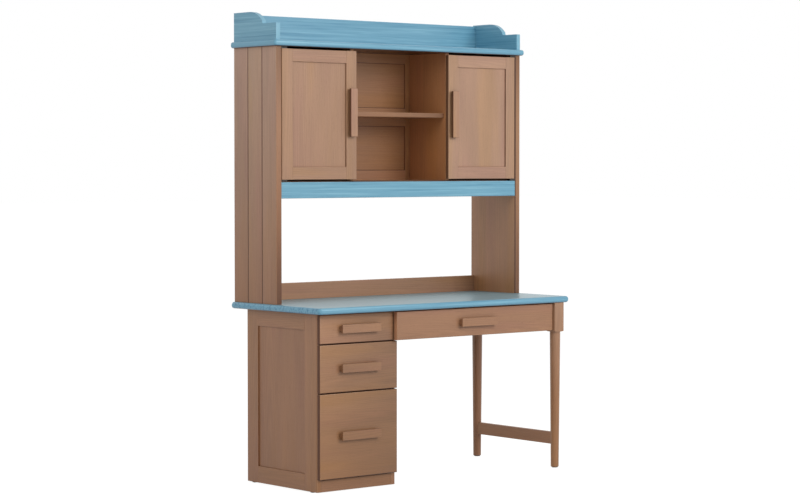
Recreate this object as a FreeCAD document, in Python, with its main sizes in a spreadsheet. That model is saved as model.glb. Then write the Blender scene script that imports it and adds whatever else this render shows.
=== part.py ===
"""Student desk with a hutch, in solid wood.

Frame: X to the right, Y to the back, Z up, in millimetres. The origin lies on the floor under the middle of
the desk top. The left pedestal holds three drawers, a wide drawer hangs over the knee space, and two turned
legs carry the right end. The hutch stands on the desk top: an open niche between two cupboards, a valance
below them, a crown board and a scrolled gallery on top.
"""
import FreeCAD
import Part
import Sketcher
import math
import os
import re

# ---------------------------------------------------------------------------------------------------------
# Driving dimensions, in millimetres
# ---------------------------------------------------------------------------------------------------------
SIZES = {
    # desk top
    "desk_length": 1400,
    "desk_depth": 620,
    "desk_height": 760,
    "top_thickness": 28,
    "top_nose": 12,
    "top_corner": 16,
    # carcass stock
    "side_thickness": 20,
    "rail_thickness": 18,
    "edge_round": 3,
    "front_round": 3.5,
    # pedestal
    "pedestal_inset": 32,
    "pedestal_setback": 62,
    "pedestal_width": 410,
    "pedestal_rear_setback": 78,
    "front_stile": 84,
    "rear_stile": 76,
    "post_round": 8,
    "side_top_rail": 67,
    "side_bottom_rail": 70,
    "panel_recess": 6,
    "panel_tongue": 7,
    "tongue_play": 1,
    "plinth_height": 48,
    "rail_height": 20,
    "rail_depth": 40,
    "carcass_back": 9,
    "back_inset": 8,
    # drawer fronts
    "front_thickness": 18,
    "front_standoff": 0.5,
    "front_reveal": 0.5,
    "front_gap": 4,
    "front_top_gap": 3,
    "drawer_1_height": 119,
    "drawer_2_height": 197,
    # drawer boxes and runners
    "box_wall": 12,
    "box_bottom": 6,
    "box_rear_gap": 38.5,
    "box_side_gap": 4,
    "box_play": 7,
    "box_headroom": 20,
    "bottom_lift": 10,
    "bottom_tongue": 5,
    "runner_height": 16,
    "runner_reach": 9.5,
    "runner_setback": 12,
    "runner_play": 0.3,
    "groove_height": 17,
    "groove_depth": 6,
    # wide drawer
    "wide_setback": 20,
    "wide_front": 20,
    "wide_gap": 2,
    "wide_box_rear_gap": 84,
    "wide_runner_seat": 20,
    # legs
    "leg_inset": 26,
    "leg_setback": 9,
    "rear_leg_setback": 40,
    "block_width": 56,
    "block_height": 128,
    "block_round": 4,
    "shoulder_radius": 13,
    "leg_top_radius": 23.4,
    "leg_foot_radius": 17.8,
    "foot_chamfer": 2,
    "apron_height": 110,
    "apron_inset": 6,
    "stretcher_bottom": 103,
    "stretcher_height": 54,
    "stretcher_from_axis": 8,
    "glide_height": 3,
    "glide_pad": 16,
    "leg_glide_radius": 13,
    "glide_from_edge": 40,
    # handles
    "handle_length": 204,
    "handle_width": 36,
    "handle_reach": 21,
    "handle_plate": 8,
    "handle_stem": 18,
    "handle_cove": 7,
    "handle_round": 2,
    # hutch
    "hutch_inset": 14,
    "hutch_depth": 296,
    "hutch_back_inset": 13,
    "hutch_height": 1071,
    "hutch_side": 28,
    "vee_width": 5,
    "vee_depth": 3,
    "back_rail_height": 71,
    "board_thickness": 20,
    "floor_level": 513,
    "valance_bottom": 440,
    "valance_height": 68,
    "valance_recess": 2,
    "valance_thickness": 18,
    "niche_width": 518,
    "divider_setback": 20,
    "shelf_level": 786.5,
    "shelf_setback": 12,
    "shelf_side_gap": 1,
    # hutch back
    "hutch_back_recess": 10,
    "back_stile_lap": 24,
    "back_end_stile": 50,
    "back_bottom_rail": 42,
    "back_rail_below_shelf": 34.5,
    "back_rail_above_shelf": 24.5,
    "back_top_rail": 41,
    # crown and gallery
    "crown_thickness": 26,
    "crown_overhang": 16,
    "crown_front_overhang": 15,
    "crown_nose": 11,
    "crown_corner": 12,
    "gallery_thickness": 20,
    "gallery_height": 122,
    "gallery_rail_drop": 5,
    "gallery_front_height": 70,
    "gallery_front_length": 97,
    "gallery_arc_run": 86,
    "gallery_arc_drop": 40,
    "gallery_cove": 8,
    # doors
    "door_thickness": 18,
    "door_height": 544,
    "door_gap": 2,
    "door_top_gap": 9,
    "door_stile": 56,
    "door_rail": 53,
    "door_handle_inset": 10,
    "door_handle_rise": 11,
    # door pivots
    "pivot_from_edge": 12,
    "pivot_from_front": 6,
    "pivot_radius": 3,
    "pivot_depth": 12,
    "pivot_play": 0.05,
    "pivot_seat": 0.3,
    "pivot_block_length": 30,
    "pivot_block_width": 12,
    # shelf cleats and loose tenons
    "cleat_height": 18,
    "cleat_width": 12,
    "cleat_setback": 15,
    "tenon_height": 36,
    "tenon_width": 40,
    "tenon_thickness": 8,
    "tenon_from_edge": 30,
}

# Planes and spots that several pieces share, worked out from the driving dimensions
LEVELS = {
    "desk_front": "-desk_depth / 2",
    "desk_back": "desk_depth / 2",
    "top_underside": "desk_height - top_thickness",
    "pedestal_left": "pedestal_inset - desk_length / 2",
    "pedestal_right": "pedestal_left + pedestal_width",
    "pedestal_front": "desk_front + pedestal_setback",
    "pedestal_back": "desk_back - pedestal_rear_setback",
    "bay_left": "pedestal_left + side_thickness",
    "bay_right": "pedestal_right - side_thickness",
    "bay_back": "pedestal_back - back_inset - carcass_back",
    "pedestal_middle": "(pedestal_left + pedestal_right) / 2",
    "plinth_top": "glide_height + plinth_height",
    "front_rear": "pedestal_front - front_standoff",
    "front_face": "front_rear - front_thickness",
    "drawer_1_top": "top_underside - front_top_gap",
    "drawer_1_bottom": "drawer_1_top - drawer_1_height",
    "drawer_2_top": "drawer_1_bottom - front_gap",
    "drawer_2_bottom": "drawer_2_top - drawer_2_height",
    "drawer_3_top": "drawer_2_bottom - front_gap",
    "drawer_3_bottom": "plinth_top + front_gap",
    "drawer_1_right": "bay_right - wide_gap",
    "wide_face": "desk_front + wide_setback",
    "wide_rear": "wide_face + wide_front",
    "wide_left": "bay_right",
    "wide_right": "leg_left - wide_gap",
    "stop_face": "wide_rear + wide_gap",
    "leg_right": "desk_length / 2 - leg_inset",
    "leg_left": "leg_right - block_width",
    "leg_x": "leg_right - block_width / 2",
    "front_leg_y": "desk_front + leg_setback + block_width / 2",
    "rear_leg_y": "desk_back - rear_leg_setback - block_width / 2",
    "front_leg_rear": "front_leg_y + block_width / 2",
    "rear_leg_front": "rear_leg_y - block_width / 2",
    "block_bottom": "top_underside - block_height",
    "hutch_left": "hutch_inset - desk_length / 2",
    "hutch_inner": "hutch_left + hutch_side",
    "hutch_back": "desk_back - hutch_back_inset",
    "hutch_front": "hutch_back - hutch_depth",
    "hutch_top": "desk_height + hutch_height",
    "floor_top": "desk_height + floor_level",
    "floor_bottom": "floor_top - board_thickness",
    "board_front": "hutch_front + divider_setback",
    "back_rear": "hutch_back - hutch_back_recess",
    "back_face": "back_rear - board_thickness",
    "niche_left": "-niche_width / 2",
    "divider_left": "niche_left - board_thickness",
    "shelf_bottom": "desk_height + shelf_level",
    "shelf_top": "shelf_bottom + board_thickness",
    "shelf_front": "board_front + shelf_setback",
    "valance_front": "hutch_front + valance_recess",
    "valance_top": "desk_height + valance_bottom + valance_height",
    "crown_top": "hutch_top + crown_thickness",
    "crown_front": "hutch_front - crown_front_overhang",
    "door_left": "hutch_inner + door_gap",
    "door_right": "niche_left",
    "door_rear": "hutch_front + door_thickness",
    "door_top": "hutch_top - door_top_gap",
    "door_bottom": "door_top - door_height",
    "pivot_x": "door_left + pivot_from_edge",
    "pivot_y": "hutch_front + pivot_from_front",
}

doc = FreeCAD.newDocument("student_desk")
sheet = doc.addObject("Spreadsheet::Sheet", "sizes")
for row, (alias, millimetres) in enumerate(SIZES.items(), start=1):
    sheet.set(f"A{row}", alias)
    sheet.set(f"B{row}", str(millimetres))
    sheet.setAlias(f"B{row}", alias)
doc.recompute()

FUZZ = 1e-4
subparts = []


# ---------------------------------------------------------------------------------------------------------
# Formulas, and how they are tied to objects
# ---------------------------------------------------------------------------------------------------------
def formula(text):
    """Spell a formula out in the cells of the sheet."""
    def spelled(word):
        name = word.group()
        if name in LEVELS:
            return "(" + formula(LEVELS[name]) + ")"
        return "sizes." + name if name in SIZES else name
    return re.sub(r"[a-z][a-z_0-9]*", spelled, str(text))


def value(text):
    """What a formula comes to, in millimetres."""
    return float(sheet.evalExpression(formula(text)))


def bind(item, **properties):
    """Tie properties of an object to formulas; a double underscore in a name stands for a dot."""
    for name, text in properties.items():
        item.setExpression(name.replace("__", "."), formula(text))
    return item


def turned_by(yaw=0, pitch=0):
    """A rotation by a pitch about Y, then a yaw about Z, in degrees."""
    return FreeCAD.Rotation(yaw, pitch, 0)


def put(item, x, y, z, turn=turned_by()):
    """Turn an object, and tie its place to formulas."""
    item.Placement = FreeCAD.Placement(FreeCAD.Vector(), turn)
    return bind(item, Placement__Base__x=x, Placement__Base__y=y, Placement__Base__z=z)


def subpart(name, item):
    """Name a finished piece and put it on the list of those to write."""
    item.Label = name
    subparts.append(item)
    return item


def mirror(text):
    """The formula of the plane on the other side of the middle."""
    return f"-({text})"


def opposite(ends):
    """The span on the other side of the middle."""
    return mirror(ends[1]), mirror(ends[0])


# ---------------------------------------------------------------------------------------------------------
# Boards, rods and what is done to them
# ---------------------------------------------------------------------------------------------------------
def board(name, x, y, z):
    """A plain board from one plane to another along each axis."""
    stock = doc.addObject("Part::Box", name + "_stock")
    length, width, height = (f"({end}) - ({start})" for start, end in (x, y, z))
    bind(stock, Length=length, Width=width, Height=height)
    return put(stock, x[0], y[0], z[0])


def rod(name, radius, length, x, y, z):
    """A round rod that starts at a point and runs up."""
    stock = doc.addObject("Part::Cylinder", name + "_rod")
    bind(stock, Radius=radius, Height=length)
    return put(stock, x, y, z)


def cut(base, *tools):
    """Take tools out of a piece, one after another."""
    for tool in tools:
        result = doc.addObject("Part::Cut", base.Name + "_cut")
        result.Base = base
        result.Tool = tool
        base = result
    return base


def joined(name, *pieces):
    """Pieces that are one solid."""
    result = doc.addObject("Part::MultiFuse", name + "_joined")
    result.Shapes = list(pieces)
    return result


def group(name, pieces):
    """Like pieces that share a sub-part, each of them a solid of its own."""
    result = doc.addObject("Part::Compound", name + "_group")
    result.Links = list(pieces)
    return result


def mirrored(name, piece):
    """The same piece on the other side of the desk's middle plane."""
    result = doc.addObject("Part::Mirroring", name + "_mirrored")
    result.Source = piece
    result.Normal = FreeCAD.Vector(1, 0, 0)
    return result


def edges_of(shape, along=None, **planes):
    """Numbers of the edges that lie in all the planes given and run along an axis, where one is given."""
    levels = {axis: value(text) for axis, text in planes.items()}

    def fits(edge):
        ends = [vertex.Point for vertex in edge.Vertexes]
        if along and abs(getattr(ends[-1] - ends[0], along)) < edge.Length - FUZZ:
            return False
        return all(abs(getattr(end, axis) - level) < FUZZ for end in ends for axis, level in levels.items())

    return [index for index, edge in enumerate(shape.Edges, start=1) if fits(edge)]


def eased(piece, radius, *picks):
    """Round over the edges that any of the picks finds."""
    doc.recompute()
    in_body = piece.isDerivedFrom("PartDesign::Body")
    base = piece.Tip if in_body else piece
    found = sorted({index for pick in picks for index in edges_of(base.Shape, **pick)})
    if not found:
        raise ValueError(f"no edge to round on {piece.Label}")
    if in_body:
        fillet = piece.newObject("PartDesign::Fillet", piece.Name + "_fillet")
        fillet.Base = (base, [f"Edge{index}" for index in found])
        bind(fillet, Radius=radius)
        piece.Tip = fillet
        doc.recompute()
        return piece
    fillet = doc.addObject("Part::Fillet", piece.Name + "_fillet")
    fillet.Base = piece
    fillet.Edges = [(index, value(radius), value(radius)) for index in found]
    return fillet


# ---------------------------------------------------------------------------------------------------------
# Bodies made from sketches
# ---------------------------------------------------------------------------------------------------------
def body(name, x=0, y=0, z=0, turn=turned_by()):
    """An empty body at a place."""
    return put(doc.addObject("PartDesign::Body", name + "_body"), x, y, z, turn)


def sketch_on(owner, role, lift):
    """A sketch on one of a body's own planes, moved along the plane's normal."""
    sketch = owner.newObject("Sketcher::SketchObject", owner.Name + "_sketch")
    plane = next(item for item in owner.Origin.OriginFeatures if item.Role == role)
    sketch.AttachmentSupport = [(plane, "")]
    sketch.MapMode = "FlatFace"
    return bind(sketch, AttachmentOffset__Base__z=lift)


def hold(sketch, kind, text, *ends):
    """A constraint of a sketch whose size is a formula."""
    index = sketch.addConstraint(Sketcher.Constraint(kind, *ends, value(text)))
    sketch.setExpression(f"Constraints[{index}]", formula(text))


def arc_between(start, end, radius):
    """The short anticlockwise arc from one point to another."""
    chord = end - start
    height = math.sqrt(radius ** 2 - (chord.Length / 2) ** 2)
    to_centre = FreeCAD.Vector(-chord.y, chord.x, 0).normalize() * height
    centre = start + chord * 0.5 + to_centre
    angles = [math.atan2(spot.y - centre.y, spot.x - centre.x) for spot in (start, end)]
    return Part.ArcOfCircle(Part.Circle(centre, FreeCAD.Vector(0, 0, 1), radius), *angles)


def outline(sketch, corners):
    """A closed outline, anticlockwise through corners (x, y); an arc of radius r leads to (x, y, r)."""
    spots = [FreeCAD.Vector(value(corner[0]), value(corner[1]), 0) for corner in corners]
    for index, (_, _, *radius) in enumerate(corners):
        ends = (spots[index - 1], spots[index])
        sketch.addGeometry(arc_between(*ends, value(radius[0])) if radius else Part.LineSegment(*ends))
    for index, (x, y, *radius) in enumerate(corners):
        sketch.addConstraint(Sketcher.Constraint("Coincident", index, 2, (index + 1) % len(corners), 1))
        hold(sketch, "DistanceX", x, -1, 1, index, 2)
        hold(sketch, "DistanceY", y, -1, 1, index, 2)
        if radius:
            hold(sketch, "Radius", radius[0], index)


def padded(owner, corners, length, plane="XY_Plane", lift=0, centred=False):
    """Add an outline, raised along its plane's normal, to a body."""
    sketch = sketch_on(owner, plane, lift)
    outline(sketch, corners)
    feature = owner.newObject("PartDesign::Pad", owner.Name + "_pad")
    feature.Profile = sketch
    feature.Midplane = centred
    bind(feature, Length=length)
    owner.Tip = feature
    doc.recompute()
    return owner


def turned(owner, corners):
    """Turn an outline in the XZ plane round the body's upright axis."""
    sketch = sketch_on(owner, "XZ_Plane", 0)
    outline(sketch, corners)
    feature = owner.newObject("PartDesign::Revolution", owner.Name + "_turned")
    feature.Profile = sketch
    feature.ReferenceAxis = (sketch, ["V_Axis"])
    feature.Angle = 360
    owner.Tip = feature
    doc.recompute()
    return owner


def rectangle(x, y):
    """The corners of a rectangle between two planes each way."""
    return [(x[0], y[0]), (x[1], y[0]), (x[1], y[1]), (x[0], y[1])]


# ---------------------------------------------------------------------------------------------------------
# Desk top: one board with a round nose and round plan corners
# ---------------------------------------------------------------------------------------------------------
def nosed_board(name, length, depth, thickness, corner, nose, y, z, corners):
    """A board whose picked plan corners are round, with a nose over and under its edge."""
    owner = body(name, 0, y, z)
    padded(owner, rectangle((f"-({length}) / 2", f"({length}) / 2"), (0, depth)), thickness)
    eased(owner, corner, corners)
    return eased(owner, nose, dict(along="x", y=0, z=0), dict(along="x", y=0, z=thickness))


def loose_tenons():
    """Flat tenons that key the hutch's two sides to the desk top; the first two are at the left."""
    middle = "hutch_left + hutch_side / 2"
    left = (f"{middle} - tenon_thickness / 2", f"{middle} + tenon_thickness / 2")
    rows = [("hutch_front + tenon_from_edge", "hutch_front + tenon_from_edge + tenon_width"),
            ("hutch_back - tenon_from_edge - tenon_width", "hutch_back - tenon_from_edge")]
    height = ("desk_height - tenon_height / 2", "desk_height + tenon_height / 2")
    return [board(f"tenon_{index}", x, y, height)
            for index, (x, y) in enumerate(((x, y) for x in (left, opposite(left)) for y in rows), start=1)]


tenons = loose_tenons()
desk_top = nosed_board("desktop", "desk_length", "desk_depth", "top_thickness", "top_corner", "top_nose",
                       "desk_front", "top_underside", dict(along="z"))
subpart("desktop", cut(desk_top, *tenons))
subpart("hutch_tenons", group("hutch_tenons", tenons))


# ---------------------------------------------------------------------------------------------------------
# Grooved frames: stiles with a groove in one edge, and rails whose tongues and panel sit in the grooves
# ---------------------------------------------------------------------------------------------------------
GROOVE = "panel_tongue + tongue_play"


def stile(name, width, length, thickness, x, y, z, turn=turned_by()):
    """An upright board, its groove facing local +X and its middle plane at local Y = 0."""
    lip = f"{thickness} / 2 - panel_recess"
    owner = body(name, x, y, z, turn)
    padded(owner, [(0, f"-{thickness} / 2"), (width, f"-{thickness} / 2"), (width, f"-({lip})"),
                   (f"{width} - ({GROOVE})", f"-({lip})"), (f"{width} - ({GROOVE})", lip), (width, lip),
                   (width, f"{thickness} / 2"), (0, f"{thickness} / 2")], length)
    return owner


def rail(name, width, clear_length, thickness, x, y, z, turn=turned_by()):
    """A board like a stile that lies down; local Z = 0 is its shoulder, and its tongues go past both ends."""
    owner = stile(name, width, clear_length, thickness, x, y, z, turn)
    lip = f"{thickness} / 2 - panel_recess"
    tongue = rectangle((0, f"{width} - ({GROOVE})"), (f"-({lip})", lip))
    return padded(owner, tongue, f"{clear_length} + 2 * panel_tongue", lift="-panel_tongue")


# ---------------------------------------------------------------------------------------------------------
# Pedestal: left side framed round a panel, right side plain, with plinth, floor, back and drawer rails
# ---------------------------------------------------------------------------------------------------------
PEDESTAL_Z = ("glide_height", "top_underside")
side_y = ("pedestal_front + front_stile", "pedestal_back - rear_stile")
side_z = ("glide_height + side_bottom_rail", "top_underside - side_top_rail")
side_middle = "pedestal_left + side_thickness / 2"
side_rail = f"({side_y[1]}) - ({side_y[0]})"
side_length = "top_underside - glide_height"

post = stile("pedestal_left_front_stile", "front_stile", side_length, "side_thickness",
             side_middle, "pedestal_front", "glide_height", turned_by(yaw=90))
eased(post, "post_round", dict(along="z", x=0, y="side_thickness / 2"))
subpart("pedestal_left_front_stile", post)

rear_post = stile("pedestal_left_rear_stile", "rear_stile", side_length, "side_thickness",
                  side_middle, "pedestal_back", "glide_height", turned_by(yaw=-90))
eased(rear_post, "edge_round", dict(along="z", x=0, y="-side_thickness / 2"))
subpart("pedestal_left_rear_stile", rear_post)

subpart("pedestal_left_top_rail",
        rail("pedestal_left_top_rail", "side_top_rail", side_rail, "side_thickness",
             side_middle, side_y[0], "top_underside", turned_by(yaw=90, pitch=90)))
subpart("pedestal_left_bottom_rail",
        rail("pedestal_left_bottom_rail", "side_bottom_rail", side_rail, "side_thickness",
             side_middle, side_y[1], "glide_height", turned_by(yaw=90, pitch=-90)))
subpart("pedestal_left_panel",
        board("pedestal_left_panel",
              ("pedestal_left + panel_recess", "bay_left - panel_recess"),
              (f"{side_y[0]} - panel_tongue", f"{side_y[1]} + panel_tongue"),
              (f"{side_z[0]} - panel_tongue", f"{side_z[1]} + panel_tongue")))


def pedestal_right_side():
    """A plain board whose upper part steps forward as the stop of the wide drawer."""
    owner = body("pedestal_right_side", "bay_right")
    stop_bottom = "drawer_1_bottom - front_gap / 2"
    return padded(owner, [("pedestal_front", "glide_height"), ("pedestal_back", "glide_height"),
                          ("pedestal_back", "top_underside"), ("stop_face", "top_underside"),
                          ("stop_face", stop_bottom), ("pedestal_front", stop_bottom)],
                  "side_thickness", plane="YZ_Plane")


bay_x = ("bay_left", "bay_right")
subpart("pedestal_right_side", pedestal_right_side())
subpart("pedestal_back_panel",
        board("pedestal_back_panel", bay_x, ("bay_back", "bay_back + carcass_back"), PEDESTAL_Z))
subpart("pedestal_plinth",
        board("pedestal_plinth", bay_x, ("pedestal_front", "pedestal_front + side_thickness"),
              ("glide_height", "plinth_top")))
subpart("pedestal_floor",
        board("pedestal_floor", bay_x, ("pedestal_front + side_thickness", "bay_back"),
              ("plinth_top - rail_thickness", "plinth_top")))

rail_rows = [("top_underside - rail_height", "top_underside")]
rail_rows += [(f"{top} + front_gap / 2 - rail_height / 2", f"{top} + front_gap / 2 + rail_height / 2")
              for top in ("drawer_2_top", "drawer_3_top")]
subpart("pedestal_drawer_rails", group("pedestal_drawer_rails", [
    board(f"drawer_rail_{index}", bay_x, ("pedestal_front", "pedestal_front + rail_depth"), row)
    for index, row in enumerate(rail_rows, start=1)]))


# ---------------------------------------------------------------------------------------------------------
# Legs, stretcher, aprons and glides
# ---------------------------------------------------------------------------------------------------------
stretcher = eased(board("leg_stretcher", ("leg_x - side_thickness / 2", "leg_x + side_thickness / 2"),
                        ("front_leg_y + stretcher_from_axis", "rear_leg_y - stretcher_from_axis"),
                        ("stretcher_bottom", "stretcher_bottom + stretcher_height")),
                  "edge_round", dict(along="y"))
subpart("leg_stretcher", stretcher)


def leg(name, y):
    """A square blank turned below its block, with a rounded shoulder, and mortised for the stretcher."""
    reach = "block_width / sqrt(2) + block_round"
    half = "block_width / 2"
    spindle = turned(body(name, "leg_x", y), [
        (0, "glide_height"), ("leg_foot_radius - foot_chamfer", "glide_height"),
        ("leg_foot_radius", "glide_height + foot_chamfer"),
        ("leg_top_radius", "block_bottom"),
        (f"{reach} - shoulder_radius", "block_bottom"),
        (reach, "block_bottom + shoulder_radius", "shoulder_radius"),
        (reach, "top_underside"), (0, "top_underside")])
    blank = eased(board(name, (f"leg_x - {half}", f"leg_x + {half}"), (f"{y} - {half}", f"{y} + {half}"),
                        ("glide_height", "top_underside")), "block_round", dict(along="z"))
    result = doc.addObject("Part::Common", name + "_leg")
    result.Base = blank
    result.Tool = spindle
    return cut(result, stretcher)


subpart("front_leg", leg("front_leg", "front_leg_y"))
subpart("rear_leg", leg("rear_leg", "rear_leg_y"))

apron_z = ("top_underside - apron_height", "top_underside")
subpart("side_apron",
        board("side_apron", ("leg_right - apron_inset - rail_thickness", "leg_right - apron_inset"),
              ("front_leg_rear", "rear_leg_front"), apron_z))
subpart("rear_apron",
        board("rear_apron", ("pedestal_right", "leg_left"),
              ("rear_leg_front", "rear_leg_front + rail_thickness"), apron_z))
subpart("front_top_rail",
        board("front_top_rail", ("pedestal_right", "leg_left"), ("stop_face", "stop_face + rail_depth"),
              ("top_underside - rail_height", "top_underside")))

pads = [rod(f"{name}_glide", "leg_glide_radius", "glide_height", "leg_x", y, 0)
        for name, y in (("front_leg", "front_leg_y"), ("rear_leg", "rear_leg_y"))]
pad_columns = (("left", side_middle), ("right", "pedestal_right - side_thickness / 2"))
pad_rows = (("front", "pedestal_front + glide_from_edge"), ("rear", "pedestal_back - glide_from_edge"))
pads += [board(f"pad_{column}_{row}", (f"{x} - glide_pad / 2", f"{x} + glide_pad / 2"),
               (f"{y} - glide_pad / 2", f"{y} + glide_pad / 2"), (0, "glide_height"))
         for column, x in pad_columns for row, y in pad_rows]
subpart("floor_glides", group("floor_glides", pads))


# ---------------------------------------------------------------------------------------------------------
# Handles: a bar with a flat face, undercut to a narrower stem
# ---------------------------------------------------------------------------------------------------------
def handle(name, x, y, z, turn=turned_by()):
    """A bar centred on a point of the face that carries it; it stands upright unless turned."""
    half, stem, neck = "handle_width / 2", "handle_stem / 2", "handle_plate - handle_reach"
    owner = padded(body(name, x, y, z, turn), [
        (f"-{half}", "-handle_reach"), (half, "-handle_reach"), (half, neck), (stem, neck),
        (stem, 0), (f"-{stem}", 0), (f"-{stem}", neck), (f"-{half}", neck)], "handle_length", centred=True)
    eased(owner, "handle_cove", dict(along="z", x=stem, y=neck), dict(along="z", x=f"-{stem}", y=neck))
    return eased(owner, "handle_round", dict(y="-handle_reach"))


# ---------------------------------------------------------------------------------------------------------
# Drawers: front, handle, box grooved for its runners, and bottom
# ---------------------------------------------------------------------------------------------------------
def drawer(name, front_x, front_y, front_z, walls, box_rear, handle_x, runner_y):
    """All pieces of a drawer between two walls; returns the two runners that carry it."""
    front = board(f"{name}_front", front_x, front_y, front_z)
    subpart(f"{name}_front", eased(front, "front_round", dict(y=front_y[0])))
    subpart(f"{name}_handle",
            handle(f"{name}_handle", handle_x, front_y[0], f"({front_z[0]} + {front_z[1]}) / 2",
                   turned_by(pitch=90)))

    box_y = (front_y[1], box_rear)
    box_z = (f"{front_z[0]} - front_gap / 2 + rail_height / 2 + box_play",
             f"{front_z[1]} + front_gap / 2 - rail_height / 2 - box_headroom")
    outer = (f"{walls[0]} + box_side_gap", f"{walls[1]} - box_side_gap")
    inner = (f"{outer[0]} + box_wall", f"{outer[1]} - box_wall")
    runner_z = (f"({box_z[0]} + {box_z[1]}) / 2 - runner_height / 2",
                f"({box_z[0]} + {box_z[1]}) / 2 + runner_height / 2")
    groove_z = (f"{runner_z[1]} + runner_play - groove_height", f"{runner_z[1]} + runner_play")
    bottom_z = (f"{box_z[0]} + bottom_lift", f"{box_z[0]} + bottom_lift + box_bottom")
    slot = "(bottom_tongue + tongue_play)"

    sides = []
    for side, wall_x, groove_x, slot_x in (
            ("left", (outer[0], inner[0]), (outer[0], f"{outer[0]} + groove_depth"),
             (f"{inner[0]} - {slot}", inner[0])),
            ("right", (inner[1], outer[1]), (f"{outer[1]} - groove_depth", outer[1]),
             (inner[1], f"{inner[1]} + {slot}"))):
        wall = board(f"{name}_{side}_wall", wall_x, box_y, box_z)
        sides.append(cut(wall, board(f"{name}_{side}_groove", groove_x, box_y, groove_z),
                         board(f"{name}_{side}_slot", slot_x, box_y, bottom_z)))
    back = board(f"{name}_back", inner, (f"{box_y[1]} - box_wall", box_y[1]), (bottom_z[1], box_z[1]))
    subpart(f"{name}_box", group(f"{name}_box", [*sides, back]))
    subpart(f"{name}_bottom",
            board(f"{name}_bottom", (f"{inner[0]} - bottom_tongue", f"{inner[1]} + bottom_tongue"),
                  box_y, bottom_z))
    return [board(f"{name}_left_runner", (walls[0], f"{walls[0]} + runner_reach"), runner_y, runner_z),
            board(f"{name}_right_runner", (f"{walls[1]} - runner_reach", walls[1]), runner_y, runner_z)]


runners = []
for number in (1, 2, 3):
    right = "drawer_1_right" if number == 1 else "pedestal_right - front_reveal"
    runners += drawer(f"drawer_{number}", ("pedestal_left + front_reveal", right),
                      ("front_face", "front_rear"), (f"drawer_{number}_bottom", f"drawer_{number}_top"),
                      bay_x, "bay_back - box_rear_gap", "pedestal_middle",
                      ("pedestal_front + runner_setback", "bay_back"))
subpart("drawer_runners", group("drawer_runners", runners))

wide_runners = drawer("wide_drawer", ("wide_left", "wide_right"), ("wide_face", "wide_rear"),
                      ("drawer_1_bottom", "drawer_1_top"), ("pedestal_right", "leg_left"),
                      "rear_leg_front - wide_box_rear_gap", "(wide_left + wide_right) / 2",
                      ("front_leg_rear - wide_runner_seat", "rear_leg_front"))
subpart("wide_drawer_runners", group("wide_drawer_runners", wide_runners))


# ---------------------------------------------------------------------------------------------------------
# Hutch carcass: sides with V grooves, dividers, floor, shelves on cleats, valance and low back rail
# ---------------------------------------------------------------------------------------------------------
def hutch_side():
    """The left side: three planks with V grooves where they meet."""
    corners = [(0, 0), ("hutch_side", 0), ("hutch_side", "hutch_depth"), (0, "hutch_depth")]
    for joint in ("hutch_depth * 2 / 3", "hutch_depth / 3"):
        corners += [(0, f"{joint} + vee_width / 2"), ("vee_depth", joint), (0, f"{joint} - vee_width / 2")]
    blank = body("hutch_left_side", "hutch_left", "hutch_front", "desk_height")
    owner = padded(blank, corners, "hutch_height")
    return eased(owner, "front_round", dict(along="z", y=0))


left_side = subpart("hutch_left_side", cut(hutch_side(), *tenons[:2]))
subpart("hutch_right_side", mirrored("hutch_right_side", left_side))

inside_x = ("hutch_inner", mirror("hutch_inner"))
board_y = ("board_front", "back_face")
left_divider = subpart("left_divider", board("left_divider", ("divider_left", "niche_left"), board_y,
                                             ("floor_top", "hutch_top")))
subpart("right_divider", mirrored("right_divider", left_divider))
subpart("hutch_floor", board("hutch_floor", inside_x, ("valance_front + valance_thickness", "back_face"),
                             ("floor_bottom", "floor_top")))
subpart("valance", eased(board("valance", inside_x, ("valance_front", "valance_front + valance_thickness"),
                               ("valance_top - valance_height", "valance_top")),
                         "edge_round", dict(along="x", y="valance_front")))
subpart("lower_back_rail",
        eased(board("lower_back_rail", inside_x, ("hutch_back - board_thickness", "hutch_back"),
                    ("desk_height", "desk_height + back_rail_height")),
              "edge_round", dict(along="x", z="desk_height + back_rail_height")))

shelf_y = ("shelf_front", "back_face")
shelf_z = ("shelf_bottom", "shelf_top")
subpart("niche_shelf", eased(board("niche_shelf", ("niche_left", mirror("niche_left")), shelf_y, shelf_z),
                             "edge_round", dict(along="x", y="shelf_front")))
cupboard_x = ("hutch_inner + shelf_side_gap", "divider_left - shelf_side_gap")
subpart("compartment_shelves", group("compartment_shelves", [
    board("left_shelf", cupboard_x, shelf_y, shelf_z),
    board("right_shelf", opposite(cupboard_x), shelf_y, shelf_z)]))
cleat_spots = [("hutch_inner", "hutch_inner + cleat_width"), ("divider_left - cleat_width", "divider_left")]
subpart("shelf_cleats", group("shelf_cleats", [
    board(f"cleat_{index}", x, ("shelf_front + cleat_setback", "back_face"),
          ("shelf_bottom - cleat_height", "shelf_bottom"))
    for index, x in enumerate([*cleat_spots, *map(opposite, cleat_spots)], start=1)]))


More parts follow.
